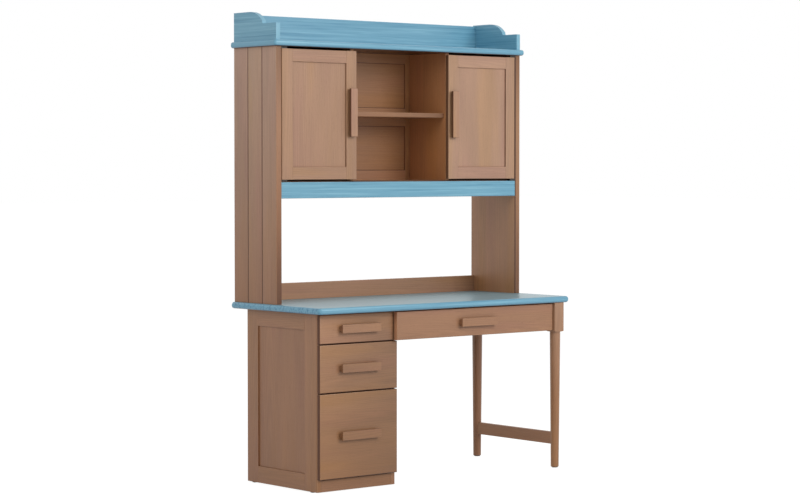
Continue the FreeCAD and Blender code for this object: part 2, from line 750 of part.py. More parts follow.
# ---------------------------------------------------------------------------------------------------------
# Hutch back: four stiles and nine rails round six sunk panels
# ---------------------------------------------------------------------------------------------------------
def hutch_back():
    """The frame's pieces, each grooved where a panel enters it, and the panels."""
    end_stile = ("hutch_inner", "hutch_inner + back_end_stile")
    niche_stile = ("divider_left - back_stile_lap", "niche_left + back_stile_lap")
    stiles = [end_stile, niche_stile, opposite(niche_stile), opposite(end_stile)]
    rows = [("floor_bottom", "floor_top + back_bottom_rail"),
            ("shelf_bottom - back_rail_below_shelf", "shelf_top + back_rail_above_shelf"),
            ("hutch_top - back_top_rail", "hutch_top")]
    bays = [(stiles[index][1], stiles[index + 1][0]) for index in range(3)]
    openings = [(bay, (rows[index][1], rows[index + 1][0])) for bay in bays for index in range(2)]
    frame_y = ("back_face", "back_rear")
    panel_y = ("back_face + panel_recess", "back_rear - panel_recess")

    def sunk(name, reach):
        return [board(f"{name}_{index}", (f"{x[0]} - ({reach})", f"{x[1]} + {reach}"), panel_y,
                      (f"{z[0]} - ({reach})", f"{z[1]} + {reach}"))
                for index, (x, z) in enumerate(openings, start=1)]

    grooves = group("back_grooves", sunk("back_groove", GROOVE))
    members = [board(f"back_stile_{index}", x, frame_y, (rows[0][0], rows[-1][1]))
               for index, x in enumerate(stiles, start=1)]
    members += [board(f"back_rail_{index}", bay, frame_y, row)
                for index, (bay, row) in enumerate(((bay, row) for bay in bays for row in rows), start=1)]
    return [cut(member, grooves) for member in members], sunk("back_panel", "panel_tongue")


back_members, back_panels = hutch_back()
subpart("hutch_back_frame", group("hutch_back_frame", back_members))
subpart("hutch_back_panels", group("hutch_back_panels", back_panels))


# ---------------------------------------------------------------------------------------------------------
# Crown board and the scrolled gallery that stands on it
# ---------------------------------------------------------------------------------------------------------
subpart("crown_board",
        nosed_board("crown_board", "desk_length - 2 * hutch_inset + 2 * crown_overhang",
                    "hutch_depth + crown_front_overhang", "crown_thickness", "crown_corner", "crown_nose",
                    "crown_front", "hutch_top", dict(along="z", y=0)))


def gallery_side():
    """The left side of the gallery: high at the back, a long arc down, a step and a low front."""
    owner = body("gallery_left_side", "hutch_left", "hutch_back", "crown_top")
    arc_radius = "(pow(gallery_arc_run; 2) + pow(gallery_arc_drop; 2)) / (2 * gallery_arc_drop)"
    step = "gallery_front_length - hutch_depth"
    padded(owner, [("-hutch_depth", 0), (0, 0), (0, "gallery_height"),
                   (f"{step} + gallery_arc_run", "gallery_height"),
                   (step, "gallery_height - gallery_arc_drop", arc_radius),
                   (step, "gallery_front_height"), ("-hutch_depth", "gallery_front_height")],
           "gallery_thickness", plane="YZ_Plane")
    eased(owner, "gallery_cove", dict(along="x", y=step, z="gallery_front_height"))
    return eased(owner, "front_round", dict(along="x", y="-hutch_depth", z="gallery_front_height"))


left_gallery = subpart("gallery_left_side", gallery_side())
subpart("gallery_right_side", mirrored("gallery_right_side", left_gallery))
gallery_rail_top = "crown_top + gallery_height - gallery_rail_drop"
gallery_inner = "hutch_left + gallery_thickness"
subpart("gallery_back_rail",
        eased(board("gallery_back_rail", (gallery_inner, mirror(gallery_inner)),
                    ("hutch_back - gallery_thickness", "hutch_back"), ("crown_top", gallery_rail_top)),
              "edge_round", dict(along="x", z=gallery_rail_top)))


# ---------------------------------------------------------------------------------------------------------
# Doors: a grooved frame round a panel, an upright handle, and steel pivots above and below
# ---------------------------------------------------------------------------------------------------------
def pivot(name, block_z, pin_z):
    """A block that the door rides on, or hangs under, and the pin that enters the door."""
    block = board(name + "_block", ("hutch_inner", "hutch_inner + pivot_block_length"),
                  ("valance_front", "valance_front + pivot_block_width"), block_z)
    pin = rod(name + "_pin", "pivot_radius", f"({pin_z[1]}) - ({pin_z[0]})", "pivot_x", "pivot_y", pin_z[0])
    return joined(name, block, pin)


def door_frame():
    """The left door's two stiles and two rails, bored for the pivots in the outer stile."""
    middle_y = "hutch_front + door_thickness / 2"
    rail_length = "door_right - door_left - 2 * door_stile"
    rail_right = "door_right - door_stile"
    outer = stile("door_outer_stile", "door_stile", "door_height", "door_thickness",
                  "door_left", middle_y, "door_bottom")
    inner = stile("door_inner_stile", "door_stile", "door_height", "door_thickness",
                  "door_right", middle_y, "door_bottom", turned_by(yaw=180))
    low = rail("door_bottom_rail", "door_rail", rail_length, "door_thickness",
               rail_right, middle_y, "door_bottom", turned_by(pitch=-90))
    high = rail("door_top_rail", "door_rail", rail_length, "door_thickness",
                "door_left + door_stile", middle_y, "door_top", turned_by(pitch=90))
    for upright, face in ((outer, "-door_thickness / 2"), (inner, "door_thickness / 2")):
        eased(upright, "edge_round", dict(along="z", x=0, y=face), dict(along="x", y=face))
    for lying in (low, high):
        eased(lying, "edge_round", dict(along="z", x=0, y="-door_thickness / 2"))
    bores = [rod(f"pivot_bore_{index}", "pivot_radius + pivot_play", "pivot_depth + tongue_play",
                 "pivot_x", "pivot_y", start)
             for index, start in enumerate(("door_bottom", "door_top - pivot_depth - tongue_play"), start=1)]
    return group("door_frame", [cut(outer, *bores), inner, low, high])


def door_panel():
    """The sunk panel of the left door, its edges in the grooves."""
    return board("left_door_panel",
                 ("door_left + door_stile - panel_tongue", "door_right - door_stile + panel_tongue"),
                 ("hutch_front + panel_recess", "door_rear - panel_recess"),
                 ("door_bottom + door_rail - panel_tongue", "door_top - door_rail + panel_tongue"))


left_pieces = {
    "frame": door_frame(),
    "panel": door_panel(),
    "handle": handle("left_door_handle", "door_right - door_handle_inset - handle_width / 2", "hutch_front",
                     "(door_bottom + door_top) / 2 + door_handle_rise"),
}
for piece_name, piece in left_pieces.items():
    subpart(f"left_door_{piece_name}", piece)
    subpart(f"right_door_{piece_name}", mirrored(f"right_door_{piece_name}", piece))

low_pivot = pivot("low_pivot", ("valance_top", "door_bottom - pivot_seat"),
                  ("valance_top", "door_bottom + pivot_depth"))
high_pivot = pivot("high_pivot", ("door_top + pivot_seat", "hutch_top"),
                   ("door_top - pivot_depth", "hutch_top"))
left_pivots = group("left_pivots", [low_pivot, high_pivot])
subpart("door_pivot_pins", group("door_pivot_pins", [left_pivots, mirrored("right_pivots", left_pivots)]))


# ---------------------------------------------------------------------------------------------------------
# Check every object and write one file for each piece
# ---------------------------------------------------------------------------------------------------------
doc.recompute()
for item in doc.Objects:
    if "Invalid" in item.State or "Error" in item.State:
        raise RuntimeError(f"{item.Label} failed: {item.State}")
for item in subparts:
    if item.Shape.isNull() or not item.Shape.isValid() or not item.Shape.Solids:
        raise RuntimeError(f"{item.Label} has no sound shape")
os.makedirs("parts", exist_ok=True)
for item in subparts:
    item.Shape.exportStep(f"parts/{item.Label}.step")
print(f"{len(subparts)} pieces written")
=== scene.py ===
"""Looks of a student desk with a hutch: brown stained wood, blue painted tops, soft studio light.

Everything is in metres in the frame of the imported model: +X to the right, +Y to the back, +Z up.
"""

import math
import zlib

import bmesh
import bpy
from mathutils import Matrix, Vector


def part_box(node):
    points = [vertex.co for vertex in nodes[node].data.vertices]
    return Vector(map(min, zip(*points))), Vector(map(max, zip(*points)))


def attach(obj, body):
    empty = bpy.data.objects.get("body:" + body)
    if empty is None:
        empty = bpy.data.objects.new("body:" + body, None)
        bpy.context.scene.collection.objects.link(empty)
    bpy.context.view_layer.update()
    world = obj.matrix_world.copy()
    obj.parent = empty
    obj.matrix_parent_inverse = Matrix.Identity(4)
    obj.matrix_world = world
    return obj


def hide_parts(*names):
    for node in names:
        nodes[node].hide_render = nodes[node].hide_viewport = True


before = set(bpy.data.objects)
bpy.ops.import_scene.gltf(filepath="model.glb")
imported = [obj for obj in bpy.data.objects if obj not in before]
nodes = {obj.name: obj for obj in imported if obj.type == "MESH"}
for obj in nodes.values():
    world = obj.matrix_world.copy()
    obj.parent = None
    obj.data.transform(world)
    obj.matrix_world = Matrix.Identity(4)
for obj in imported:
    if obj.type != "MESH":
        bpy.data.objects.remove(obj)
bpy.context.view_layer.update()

# ---------------------------------------------------------------------------------------------------------
# Pedestal, left side
# A frame of two upright stiles and two rails in solid wood, glued round a thin sunk panel. The boards are
# planed, their edges eased with sandpaper, then stained brown and lacquered to a satin finish.
# ---------------------------------------------------------------------------------------------------------


class Field:
    """A socket's varying number. Arithmetic on it adds Math nodes to its finish."""

    def __init__(self, finish, socket):
        self.finish = finish
        self.socket = socket

    def math(self, operation, *values):
        return self.finish.node("Math", dict(operation=operation), dict(enumerate(values)))

    def __add__(self, other):
        return self.math("ADD", self, other)

    def __sub__(self, other):
        return self.math("SUBTRACT", self, other)

    def __rsub__(self, other):
        return self.math("SUBTRACT", other, self)

    def __mul__(self, other):
        return self.math("MULTIPLY", self, other)

    __radd__ = __add__
    __rmul__ = __mul__

    def size(self):
        return self.math("ABSOLUTE", self)

    def root(self):
        return self.math("SQRT", self)

    def sine(self):
        return self.math("SINE", self)

    def larger(self, other):
        return self.math("MAXIMUM", self, other)

    def step(self, low, high):
        """0 at or under low, 1 at or over high, and a smooth step in between."""
        return self.finish.node("MapRange", dict(interpolation_type="SMOOTHSTEP"),
                                {"Value": self, "From Min": low, "From Max": high})


# The sockets of a Mix node that take its factor and two colours, and the one that gives a colour.
MIX_INPUTS = (0, 6, 7)
MIX_OUTPUT = 2


class Finish:
    """A material or a world in the making, whose nodes are added by node()."""

    def __init__(self, name, owner=None):
        self.name = name
        self.owner = owner or bpy.data.materials.new(name)
        self.owner.use_nodes = True
        self.tree = self.owner.node_tree
        self.tree.nodes.clear()

    def node(self, kind, settings=(), inputs=(), output=0):
        """Add a node: its settings first, then its inputs' values or links. Returns one output, if any."""
        made = self.tree.nodes.new("ShaderNode" + kind)
        for name, setting in dict(settings).items():
            setattr(made, name, setting)
        for name, given in dict(inputs).items():
            if isinstance(given, Field):
                self.tree.links.new(given.socket, made.inputs[name])
            else:
                made.inputs[name].default_value = given
        return Field(self, made.outputs[output]) if made.outputs else None

    def blend(self, factor, first, second, how="MIX"):
        """A colour between two, where factor says how much of the second."""
        inputs = zip(MIX_INPUTS, (factor, first, second))
        return self.node("Mix", dict(data_type="RGBA", blend_type=how), inputs, MIX_OUTPUT)

    def relief(self, height, depth, strength):
        """A bump for a Normal input, where a height of 1 stands proud by depth."""
        return self.node("Bump", (), {"Strength": strength, "Distance": depth, "Height": height})

    def surface(self, **inputs):
        """Close the material with a Principled shader."""
        named = {name.replace("_", " "): given for name, given in inputs.items()}
        shader = self.node("BsdfPrincipled", (), named)
        self.node("OutputMaterial", (), {"Surface": shader})
        return self.owner


DRAWS = 1000


def drawn(words, low, high):
    """A number between two that is always the same for the same words."""
    return low + (high - low) * (zlib.crc32(words.encode()) % DRAWS) / (DRAWS - 1)


NOISE_REACH = 40
HEART_ASIDE = 0.45
HEART_DEPTH = (0.03, 0.07)
HEART_SLANT = 0.05
RING_WANDER = 0.05
SQUARE_TILT = (0.6, 0.9)
EASED_TILT = (0.72, 0.97)


class Timber(Finish):
    """The finish of one board, which knows the board's middle and which way its grain runs."""

    def __init__(self, name, ends, grain):
        super().__init__(name)
        low, high = (Vector(corner) for corner in ends)
        self.middle = dict(zip("XYZ", (low + high) / 2))
        self.along = grain
        size = {axis: stop - start for axis, start, stop in zip("XYZ", low, high)}
        self.through, self.across = sorted("XYZ".replace(grain, ""), key=size.get)
        self.width = size[self.across]

    def place(self, axis):
        """How far a point lies from the board's middle along an axis."""
        spot = self.node("TexCoord", output="Object")
        return self.node("SeparateXYZ", (), {"Vector": spot}, axis) - self.middle[axis]

    def height(self):
        """How high a point lies over the floor."""
        return self.place("Z") + self.middle["Z"]

    def near(self, axis, level, spread):
        """1 up to spread's first distance from a level along an axis, and 0 beyond its second."""
        away = (self.place(axis) + (self.middle[axis] - level)).size()
        return 1 - away.step(*spread)

    def facing(self, axis):
        """How much the surface faces along an axis, from -1 to 1."""
        normal = self.node("TexCoord", output="Normal")
        return self.node("SeparateXYZ", (), {"Vector": normal}, axis)

    def tilt(self, axis):
        """How much the surface faces along an axis either way, from 0 to 1."""
        return self.facing(axis).size()

    def square_to(self, axis):
        """1 on the faces square to an axis, and 0 on those that lie along it."""
        return self.tilt(axis).step(*SQUARE_TILT)

    def eased(self):
        """1 along the eased edges, where the surface faces between two axes."""
        flat = self.tilt("X").larger(self.tilt("Y")).larger(self.tilt("Z"))
        return 1 - flat.step(*EASED_TILT)

    def patches(self, scale, detail=2.0, roughness=0.5):
        """Noise about 0.5; scale counts its changes in a metre along X, Y and Z."""
        shift = [drawn(self.name + axis, 0, NOISE_REACH) for axis in "xyz"]
        spot = self.node("TexCoord", output="Object")
        moved = self.node("Mapping", (), {"Vector": spot, "Location": shift, "Scale": scale})
        return self.node("TexNoise", (), {"Vector": moved, "Scale": 1.0, "Detail": detail,
                                          "Roughness": roughness})

    def streaks(self, fine, long, detail=2.0, roughness=0.5):
        """Patches drawn out along the grain: fine changes in a metre across it, and long along it."""
        scale = [long if axis == self.along else fine for axis in "XYZ"]
        return self.patches(scale, detail, roughness)

    def rings(self, gap):
        """Growth rings round the heart of the tree, which passes under the board at a slant."""
        heart = drawn(self.name + "heart", -HEART_ASIDE, HEART_ASIDE) * self.width
        depth = drawn(self.name + "depth", *HEART_DEPTH)
        slant = drawn(self.name + "slant", -HEART_SLANT, HEART_SLANT)
        sideways = self.place(self.across) + self.streaks(fine=5, long=1.3) * RING_WANDER + heart
        under = self.place(self.through) + self.place(self.along) * slant + depth
        radius = (sideways * sideways + under * under).root()
        return (radius * (2 * math.pi / gap)).sine() * 0.5 + 0.5


GAMMA = 2.2


def colour(red, green, blue):
    """A linear colour from the numbers of a paint card, 0 to 255."""
    return (*((channel / 255) ** GAMMA for channel in (red, green, blue)), 1.0)


def tinted(shade, tint):
    """A colour with a tint's share of its red, green and blue."""
    return (*(part * share for part, share in zip(shade, tint)), 1.0)


# OVER and UNDER give the stretch of the noise in which a mark comes in, and SHARE how strongly it shows.
STAIN_LOW = colour(141, 100, 70)
# The stain's colour high up, paler as painted light.
STAIN_HIGH = colour(168, 128, 101)
# The dark brown of end grain, also used for painted shade.
STAIN_END = colour(72, 38, 17)
STAIN_RUBBED = colour(182, 142, 112)
MAUVE = (0.98, 0.94, 1.01, 1.0)
MAUVE_OVER = (0.5, 0.68)
AMBER = (1.03, 1.01, 0.88, 1.0)
AMBER_UNDER = (0.32, 0.5)
CLOUD_SHARE = 0.42
FIBRE_SHARE = 0.3
RING_SHARE = 0.08
RING_GAP = 0.0064
FIGURE_MEAN = (CLOUD_SHARE + FIBRE_SHARE + RING_SHARE) / 2
PORES_OVER = (0.62, 0.74)
PORE_SHARE = 0.25
RUBBED_SHARE = 0.35
SEAM_SHARE = 0.85
FINE_SEAM = (0.0017, 0.0038)
# How far a painted shadow spreads from a gap between parts.
WIDE_SEAM = (0.003, 0.0058)
# Heights over which painted light on an edge comes in and goes again, between the shade over the desk top and
# under the crown.
HANDLED_FROM = (0.72, 1.35)
HANDLED_TO = (1.5, 1.88)
LACQUER_COAT = 0.3
LACQUER_ROUGHNESS = 0.42
FIBRE_ROUGHNESS = 0.14
SOAKED_ROUGHNESS = 0.2
FIBRE_HEIGHT = 0.6
PORE_DEPTH = 0.5


def stained(name, ends, grain, tint=(1, 1, 1), fade=(0.0, 1.9), crest=STAIN_HIGH, sawn=0.8, dark=(),
            facets=(), seams=(), drift=0.0, eased=False):
    """Brown stain under satin lacquer, with painted light and shade that change with height.

    Between the two fade it turns to crest: painted light where upper faces catch more of
    the lamps' sheen, and on the rear leg painted shade under the desk top. sawn is how dark the end grain
    is, and dark how much darker the faces square to an axis are, as painted shade. facets gives
    such faces a tint of painted light and shade, and a second, lighter one at middle height. Seams are
    darker: stain gathers in the V between planks, and the gaps beside drawers and doors get a painted
    shadow; each is how far it spreads, and the planes that meet there. drift is painted shade: how
    much darker a metre of X makes it.
    """
    wood = Timber("stain_" + name, ends, grain)
    clouds = wood.streaks(fine=13, long=1.5, detail=3)
    fibres = wood.streaks(fine=400, long=7)
    pores = wood.streaks(fine=1300, long=45, detail=1).step(*PORES_OVER)
    hue = wood.streaks(fine=9, long=1.1)
    # Painted light and shade: the colour turns from the low stain to crest between two heights.
    faded = (wood.height() - fade[0]) * (1 / (fade[1] - fade[0]))
    plain = wood.blend(faded, tinted(STAIN_LOW, tint), tinted(crest, tint))
    cool = wood.blend(hue.step(*MAUVE_OVER), plain, MAUVE, "MULTIPLY")
    warm = wood.blend(1 - hue.step(*AMBER_UNDER), cool, AMBER, "MULTIPLY")
    figure = clouds * CLOUD_SHARE + fibres * FIBRE_SHARE + wood.rings(RING_GAP) * RING_SHARE
    # Painted shade: darker towards +X, where the light falls off.
    if drift:
        figure = figure + wood.place("X") * drift
    body = wood.blend(1.0, warm, 1 + FIGURE_MEAN - figure, "MULTIPLY")
    # Painted light and shade on the faces square to an axis; the second, lighter tint is painted light at
    # middle height.
    for axis, shade, *rubbed in facets:
        tone = (*shade, 1.0)
        if rubbed:
            handled = wood.height().step(*HANDLED_FROM) * (1 - wood.height().step(*HANDLED_TO))
            tone = wood.blend(handled, tone, (*rubbed[0], 1.0))
        body = wood.blend(wood.square_to(axis), body, tone, "MULTIPLY")
    # End grain and pores take up more stain; the faces given in dark are darkened too, as painted shade.
    soaked = (wood.square_to(grain) * sawn).larger(pores * PORE_SHARE)
    for axis, share in dict(dark).items():
        soaked = soaked.larger(wood.square_to(axis) * share)
    final = wood.blend(soaked, body, STAIN_END)
    # Eased edges turn paler: partly wear from rubbing, partly a painted highlight where light catches the
    # rounding.
    if eased:
        final = wood.blend(wood.eased() * RUBBED_SHARE, final, STAIN_RUBBED)
    for spread, planes in seams:
        line = SEAM_SHARE
        for axis, level in planes.items():
            line = wood.near(axis, level, spread) * line
        final = wood.blend(line, final, STAIN_END)
    roughness = fibres * FIBRE_ROUGHNESS + LACQUER_ROUGHNESS + soaked * SOAKED_ROUGHNESS
    relief = wood.relief(fibres * FIBRE_HEIGHT - pores * PORE_DEPTH, depth=0.0003, strength=0.25)
    return wood.surface(Base_Color=final, Roughness=roughness, Normal=relief, Specular_IOR_Level=0.4,
                        Coat_Weight=LACQUER_COAT - soaked * LACQUER_COAT, Coat_Roughness=0.25)


ON_PLANE = 1e-5


def edges_on(mesh, **planes):
    """Edges of a mesh whose two ends lie on all the planes given, such as X=0.1."""
    return [edge for edge in mesh.edges
            if all(abs(getattr(end.co, axis.lower()) - level) < ON_PLANE for end in edge.verts
                   for axis, level in planes.items())]


def rounded(mesh, edges, radius, segments):
    """Round edges over, or chamfer them where there is one segment."""
    bmesh.ops.bevel(mesh, geom=edges, offset=radius, offset_type="OFFSET", segments=segments, profile=0.5,
                    affect="EDGES", material=-1, clamp_overlap=True)


def placed(name, data):
    """A new object in the scene."""
    made = bpy.data.objects.new(name, data)
    bpy.context.scene.collection.objects.link(made)
    return made


def finished(name, mesh, material, body, stands_for):
    """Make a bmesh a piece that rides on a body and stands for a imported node."""
    bmesh.ops.recalc_face_normals(mesh, faces=mesh.faces)
    data = bpy.data.meshes.new(name)
    mesh.to_mesh(data)
    mesh.free()
    data.materials.append(material)
    made = placed(name, data)
    made.modifiers.new("even_faces", "WEIGHTED_NORMAL").keep_sharp = True
    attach(made, body)
    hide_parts(stands_for)


EASED = dict(radius=0.0009, segments=2)
SHARP_FROM = math.radians(60)


def board(name, low, high, grain, stands_for, body="root", rounds=(), flush=(), look=stained, **details):
    """A planed board between two corners, its edges eased but for those that are glued flush.

    Each of rounds is a radius with its segments, and the planes that its edges lie on. At a flush edge the
    narrow face is the glued one, and stays flat, so that the wide one shades as level as its neighbour.
    """
    mesh = bmesh.new()
    bmesh.ops.create_cube(mesh, size=1.0)
    bmesh.ops.scale(mesh, vec=Vector(high) - Vector(low), verts=mesh.verts)
    bmesh.ops.translate(mesh, vec=(Vector(high) + Vector(low)) / 2, verts=mesh.verts)
    for size, planes in rounds:
        rounded(mesh, edges_on(mesh, **planes), **size)
    glued = {edge for planes in flush for edge in edges_on(mesh, **planes)}
    sharp = [edge for edge in mesh.edges if edge.calc_face_angle(0) > SHARP_FROM and edge not in glued]
    rounded(mesh, sharp, **EASED)
    for face in mesh.faces:
        face.smooth = True
    for planes in flush:
        for edge in edges_on(mesh, **planes):
            min(edge.link_faces, key=bmesh.types.BMFace.calc_area).smooth = False
    material = look(name, (low, high), grain, eased=True, **details)
    finished(name, mesh, material, body, stands_for)


def dress(node, look, grain, **details):
    """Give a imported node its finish."""
    slots = nodes[node].data.materials
    slots.clear()
    slots.append(look(node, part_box(node), grain, **details))


PANEL_SINK = 0.006
POST_ROUND = dict(radius=0.008, segments=6)
SMALL_ROUND = dict(radius=0.003, segments=4)
POST_TINT = (1.0, 0.95, 0.85)

front_low, front_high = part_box("pedestal_left_front_stile")
rear_low, rear_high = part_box("pedestal_left_rear_stile")
outer, inner = front_low[0], front_high[0]
board("pedestal_front_post", front_low, front_high, "Z", "pedestal_left_front_stile",
      rounds=[(POST_ROUND, dict(X=outer, Y=front_low[1]))], tint=POST_TINT)
board("pedestal_rear_post", rear_low, rear_high, "Z", "pedestal_left_rear_stile",
      rounds=[(SMALL_ROUND, dict(X=outer, Y=rear_high[1]))], tint=POST_TINT)
front, rear = front_high[1], rear_low[1]
levels = {}
for place in ("top", "bottom"):
    node = f"pedestal_left_{place}_rail"
    low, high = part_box(node)
    levels[place] = (low[2], high[2])
    board(f"pedestal_side_{place}_rail", (outer, front, low[2]), (inner, rear, high[2]), "Y", node,
          tint=POST_TINT)
board("pedestal_side_panel", (outer + PANEL_SINK, front, levels["bottom"][1]),
      (inner - PANEL_SINK, rear, levels["top"][0]), "Z", "pedestal_left_panel", tint=(0.98, 0.92, 0.85))

# ---------------------------------------------------------------------------------------------------------
# Pedestal case
# The plain right side, the plinth, the floor, the back and the rails between the drawers are planed boards
# glued into a box, stained like the rest.
# ---------------------------------------------------------------------------------------------------------
for node, grain in (("pedestal_right_side", "Z"), ("pedestal_floor", "X"), ("pedestal_back_panel", "Z")):
    dress(node, stained, grain)
# The rails' fronts and edges are darkened as painted shade in the gaps between the drawers.
dress("pedestal_drawer_rails", stained, "X", dark=dict(Y=1.0, Z=0.6))
board("pedestal_kickboard", *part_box("pedestal_plinth"), "X", "pedestal_plinth", tint=(0.96, 0.95, 0.95))

# ---------------------------------------------------------------------------------------------------------
# Legs, stretcher and aprons
# Two legs are turned from square blanks and tied by a low stretcher. Aprons under the top tie them to the
# pedestal, and a thin rail runs over the wide drawer.
# ---------------------------------------------------------------------------------------------------------
# Painted light and shade: the front leg grows paler higher up, and the rear leg darker under the desk top.
dress("front_leg", stained, "Z", tint=(1.08, 1.08, 0.92), fade=(0.3, 0.74), crest=colour(153, 119, 97))
dress("rear_leg", stained, "Z", tint=(0.89, 0.86, 0.76), fade=(0.29, 0.63), crest=colour(114, 80, 57))
low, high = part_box("leg_stretcher")
board("low_stretcher", low, high, "Y", "leg_stretcher", tint=(1.02, 0.98, 0.93),
      rounds=[(SMALL_ROUND, dict(X=x, Z=z)) for z in (high[2], low[2]) for x in (low[0], high[0])])
board("end_apron", *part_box("side_apron"), "Y", "side_apron")
board("back_apron", *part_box("rear_apron"), "X", "rear_apron")
# Its front is darkened as painted shade under the desk top.
dress("front_top_rail", stained, "X", dark=dict(Y=1.0))

# ---------------------------------------------------------------------------------------------------------
# Desk top
# One thick board with a round nose and round corners. Thin blue paint lets the open grain show as pale and
# deep streaks, and as dark ticks in the end grain. The top is greyed as a painted reflection, and the lower
# nose darkened as painted shade. Under the nose the board is only stained, a dark brown that is partly
# painted shade.
# ---------------------------------------------------------------------------------------------------------
PAINT_BODY = colour(106, 160, 184)
PAINT_PALE = colour(142, 192, 210)
PAINT_DEEP = colour(72, 130, 160)
PAINT_TICK = colour(44, 108, 148)
PAINT_FADED = colour(136, 157, 154)
PAINT_ROUGHNESS = 0.33
BAND_SHARE = 0.7
PALE_OVER = (0.51, 0.64)
PALE_SHARE = 0.55
DEEP_UNDER = (0.37, 0.49)
DEEP_SHARE = 0.65
TICKS_OVER = (0.5, 0.62)
TICK_SCALE = (60, 150, 120)
EDGE_SHARE = 0.5
END_TILT = (0.25, 0.7)
TOP_TILT = (0.9, 0.99)
NOSE_TILT = (0.1, 0.8)
NOSE_SHARE = 0.6
UNDERSIDE_TILT = (0.75, 0.95)


def painted(name, ends, grain, ticks=0.0, worn=0.0, faded=0.0, eased=False):
    """Satin blue paint over open grain, darker under the nose as painted shade, and none underneath.

    ticks is how dark the end grain is flecked. worn is how pale the end grain is, as a painted
    highlight, and faded how grey the top is, as a painted reflection of the bright surroundings.
    """
    wood = Timber("paint_" + name, ends, grain)
    bands = wood.streaks(fine=105, long=1.5, detail=4, roughness=0.6)
    fibres = wood.streaks(fine=420, long=6)
    figure = bands * BAND_SHARE + fibres * (1 - BAND_SHARE)
    end = wood.tilt(grain).step(*END_TILT)
    side = 1 - end
    pale = wood.blend(figure.step(*PALE_OVER) * side * PALE_SHARE, PAINT_BODY, PAINT_PALE)
    downward = wood.facing("Z") * -1
    # Painted shade: faces turned down along the nose are darker.
    pooled = downward.step(*NOSE_TILT) * NOSE_SHARE
    pits = (1 - figure.step(*DEEP_UNDER)) * side * DEEP_SHARE
    deep = wood.blend(pits.larger(pooled), pale, PAINT_DEEP)
    # Painted highlight: the end grain is paler, as where light catches the sawn ends.
    rubbed = wood.blend(end * worn, deep, PAINT_PALE)
    # Painted reflection: the top faces turn grey, as if they mirrored the bright room.
    final = wood.blend(wood.facing("Z").step(*TOP_TILT) * faded, rubbed, PAINT_FADED)
    if ticks:
        flecks = wood.patches(TICK_SCALE).step(*TICKS_OVER)
        final = wood.blend(end * flecks * ticks, final, PAINT_TICK)
    # Eased edges turn paler: partly wear from rubbing, partly a painted highlight where light catches the
    # rounding.
    if eased:
        final = wood.blend(wood.eased() * EDGE_SHARE, final, PAINT_PALE)
    # Underneath the paint stops: the bare stain there is given a dark end-grain brown, partly as painted
    # shade.
    final = wood.blend(downward.step(*UNDERSIDE_TILT), final, STAIN_END)
    relief = wood.relief(figure, depth=0.0004, strength=0.3)
    return wood.surface(Base_Color=final, Roughness=fibres * FIBRE_ROUGHNESS + PAINT_ROUGHNESS, Normal=relief,
                        Coat_Weight=0.3, Coat_Roughness=0.2, Specular_IOR_Level=0.4)


dress("desktop", painted, "X", ticks=0.62, faded=0.5)

# ---------------------------------------------------------------------------------------------------------
# Drawers
# Each front is a thick board with its outer edges rounded over. The box behind it and its bottom are bare
# sanded wood, and a bar handle is glued to the front.
# ---------------------------------------------------------------------------------------------------------
BARE_PALE = colour(224, 194, 150)
BARE_DARK = colour(198, 160, 112)
BARE_OVER = (0.3, 0.7)
BARE_CLOUD_SHARE = 0.55
BARE_FIBRE_SHARE = 0.25
BARE_RING_SHARE = 0.2
BARE_END_SHARE = 0.5
BARE_ROUGHNESS = 0.6
BARE_FIBRE_ROUGHNESS = 0.12


def bare(name, ends, grain):
    """Sanded wood without stain."""
    wood = Timber("bare_" + name, ends, grain)
    clouds = wood.streaks(fine=50, long=1.6, detail=3)
    fibres = wood.streaks(fine=520, long=10)
    figure = clouds * BARE_CLOUD_SHARE + fibres * BARE_FIBRE_SHARE + wood.rings(RING_GAP) * BARE_RING_SHARE
    body = wood.blend(figure.step(*BARE_OVER), BARE_PALE, BARE_DARK)
    final = wood.blend(wood.square_to(grain) * BARE_END_SHARE, body, BARE_DARK)
    relief = wood.relief(fibres, depth=0.0003, strength=0.2)
    return wood.surface(Base_Color=final, Roughness=fibres * BARE_FIBRE_ROUGHNESS + BARE_ROUGHNESS,
                        Normal=relief)


FRONT_ROUND = dict(radius=0.0035, segments=4)
# Painted shade: drawers 1 to 3 darken towards the wide drawer.
FRONT_DRIFT = 0.9
# Painted light: the wide drawer's end faces are lifted paler against the shade beside drawer 1, and its end
# grain is not darkened.
END_LIFT = (1.7, 1.75, 1.8)
DRAWER_TINTS = {"drawer_1": (1.0, 1.0, 1.0), "drawer_2": (0.92, 0.92, 0.86), "drawer_3": (0.93, 0.93, 0.84),
                "wide_drawer": (1.05, 1.03, 1.01)}

# Painted shade: the fronts' top and bottom faces, a painted shadow along their bottom rims, and the handles'
# top and bottom faces; the fronts' end grain is darkened a little more, partly as painted shade.
for drawer, tint in DRAWER_TINTS.items():
    low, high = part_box(f"{drawer}_front")
    if drawer == "wide_drawer":
        stain = dict(sawn=0.0, facets=[("X", END_LIFT)])
    else:
        stain = dict(sawn=0.9, drift=FRONT_DRIFT, seams=[(FINE_SEAM, dict(Z=low[2]))])
    board(f"{drawer}_face", low, high, "X", f"{drawer}_front", body=drawer,
          rounds=[(FRONT_ROUND, dict(Y=low[1]))], tint=tint, dark=dict(Z=0.8), **stain)
    dress(f"{drawer}_handle", stained, "X", tint=tint, sawn=0.25, dark=dict(Z=0.35))
    dress(f"{drawer}_box", bare, "Y")
    dress(f"{drawer}_bottom", bare, "X")
for node in ("drawer_runners", "wide_drawer_runners"):
    dress(node, bare, "Y")

# ---------------------------------------------------------------------------------------------------------
# Hutch sides
# Each side is three upright planks, glued edge to edge with a V where two meet; the stain lies dark in the
# V. Loose tenons key the sides to the desk top.
# ---------------------------------------------------------------------------------------------------------
PLANKS = 3
VEE = dict(radius=0.0028, segments=1)
SIDE_TINTS = {"left": (1.0, 0.97, 1.0), "right": (1.13, 0.96, 0.82)}
